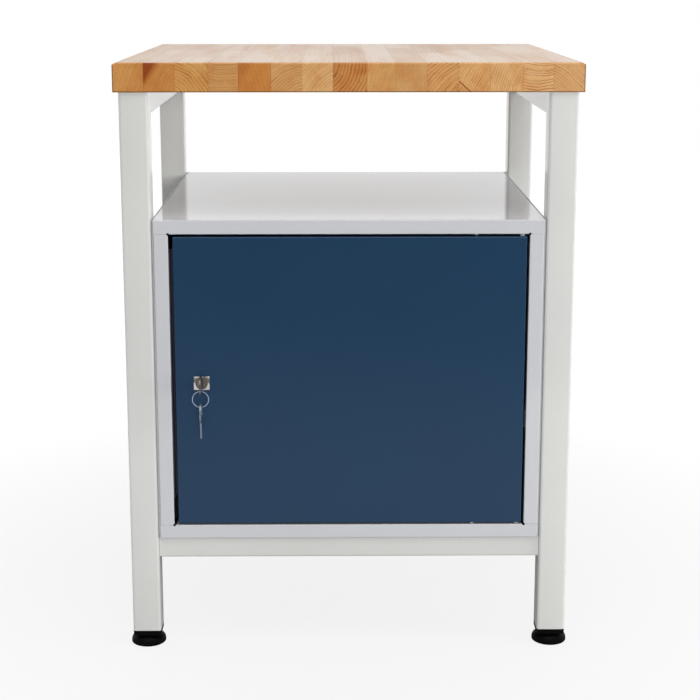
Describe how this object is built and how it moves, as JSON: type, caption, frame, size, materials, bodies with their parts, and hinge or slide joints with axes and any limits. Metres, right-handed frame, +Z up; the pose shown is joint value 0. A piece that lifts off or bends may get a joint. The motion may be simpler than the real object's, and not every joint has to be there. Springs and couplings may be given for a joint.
{
  "type": "workbench with cupboard",
  "caption": "Small workshop bench: glued beech worktop on a square tube frame with levelling feet, and a sheet steel cupboard with a hinged, key-locked door under an open shelf.",
  "frame": {"origin": "On the floor, under the middle of the overall width and of the overall depth, which runs from the bow of the spare key that hangs at the lock to the back edge of the worktop.", "axes": "+Z up, front with the door towards -Y, +X to the right seen from the front."},
  "size_m": [0.64, 0.6347, 0.84],
  "materials": {
    "beech": "glued beech staves under a thin clear oil",
    "frame_paint": "warm light grey powder coat on steel tube",
    "cupboard_paint": "smooth light grey powder coat on sheet steel",
    "door_paint": "dark blue powder coat with a fine texture",
    "zinc_steel": "bright zinc plate",
    "nickel": "nickel plate",
    "black_plastic": "moulded black polyamide",
    "buffer_strip": "soft dark grey PVC strip",
    "grey_nylon": "moulded grey nylon"
  },
  "bodies": {
    "bench": {"worktop": "beech", "door_buffer": "buffer_strip", "cupboard_floor": "cupboard_paint", "cupboard_top": "cupboard_paint", "cupboard_back": "cupboard_paint", "cupboard_wall_left": "cupboard_paint", "cupboard_wall_right": "cupboard_paint", "inner_shelf": "cupboard_paint", "leg_front_left": "frame_paint", "leg_plug_front_left": "black_plastic", "leg_front_right": "frame_paint", "leg_plug_front_right": "black_plastic", "leg_rear_left": "frame_paint", "leg_plug_rear_left": "black_plastic", "leg_rear_right": "frame_paint", "leg_plug_rear_right": "black_plastic", "lower_rail_front": "frame_paint", "lower_rail_rear": "frame_paint", "lower_rail_left": "frame_paint", "lower_rail_right": "frame_paint", "upper_rail_left": "frame_paint", "upper_rail_right": "frame_paint", "worktop_tab_front_left": "frame_paint", "worktop_screw_front_left": "zinc_steel", "worktop_tab_front_right": "frame_paint", "worktop_screw_front_right": "zinc_steel", "worktop_tab_rear_left": "frame_paint", "worktop_screw_rear_left": "zinc_steel", "worktop_tab_rear_right": "frame_paint", "worktop_screw_rear_right": "zinc_steel", "shelf_clip_front_left": "zinc_steel", "shelf_clip_front_right": "zinc_steel", "shelf_clip_rear_left": "zinc_steel", "shelf_clip_rear_right": "zinc_steel", "hinge_plate_upper": "zinc_steel", "hinge_pin_upper": "zinc_steel", "hinge_rivet_upper": "cupboard_paint", "hinge_plate_lower": "zinc_steel", "hinge_pin_lower": "zinc_steel", "hinge_rivet_lower": "cupboard_paint"},
    "door": {"door_skin": "door_paint", "door_stiffener": "door_paint", "hinge_bush_upper": "grey_nylon", "hinge_bush_lower": "grey_nylon", "lock_body": "nickel", "lock_nut": "zinc_steel"},
    "lock_cylinder": {"lock_plug": "nickel", "lock_cam": "zinc_steel", "cam_screw": "zinc_steel"},
    "key": {"door_key": "nickel"},
    "ring": {"key_ring": "nickel"},
    "spare": {"spare_key": "nickel"},
    "foot_front_left": {"levelling_pad_front_left": "black_plastic", "levelling_stud_front_left": "zinc_steel"},
    "foot_front_right": {"levelling_pad_front_right": "black_plastic", "levelling_stud_front_right": "zinc_steel"},
    "foot_rear_left": {"levelling_pad_rear_left": "black_plastic", "levelling_stud_rear_left": "zinc_steel"},
    "foot_rear_right": {"levelling_pad_rear_right": "black_plastic", "levelling_stud_rear_right": "zinc_steel"}
  },
  "joints": [
    {"name": "door_hinge", "type": "hinge", "parent": "bench", "child": "door", "pos_m": [0.24, -0.27365, 0.3942], "axis": [0, 0, 1], "range_deg": [0, 110]},
    {"name": "lock_turn", "type": "hinge", "parent": "door", "child": "lock_cylinder", "pos_m": [-0.207, -0.27965, 0.3942], "axis": [0, 1, 0], "range_deg": [0, 90]},
    {"name": "key_pull", "type": "slide", "parent": "lock_cylinder", "child": "key", "axis": [0, -1, 0], "range_m": [0, 0.024]},
    {"name": "ring_swing", "type": "hinge", "parent": "key", "child": "ring", "pos_m": [-0.207, -0.30335, 0.38815], "axis": [-1, 0, 0], "range_deg": [-5, 70]},
    {"name": "spare_key_swing", "type": "hinge", "parent": "ring", "child": "spare", "pos_m": [-0.207, -0.30335, 0.36545], "axis": [-1, 0, 0], "range_deg": [-5, 70]},
    {"name": "level_front_left", "type": "slide", "parent": "bench", "child": "foot_front_left", "axis": [0, 0, -1], "range_m": [0, 0.02]},
    {"name": "level_front_right", "type": "slide", "parent": "bench", "child": "foot_front_right", "axis": [0, 0, -1], "range_m": [0, 0.02]},
    {"name": "level_rear_left", "type": "slide", "parent": "bench", "child": "foot_rear_left", "axis": [0, 0, -1], "range_m": [0, 0.02]},
    {"name": "level_rear_right", "type": "slide", "parent": "bench", "child": "foot_rear_right", "axis": [0, 0, -1], "range_m": [0, 0.02]}
  ]
}
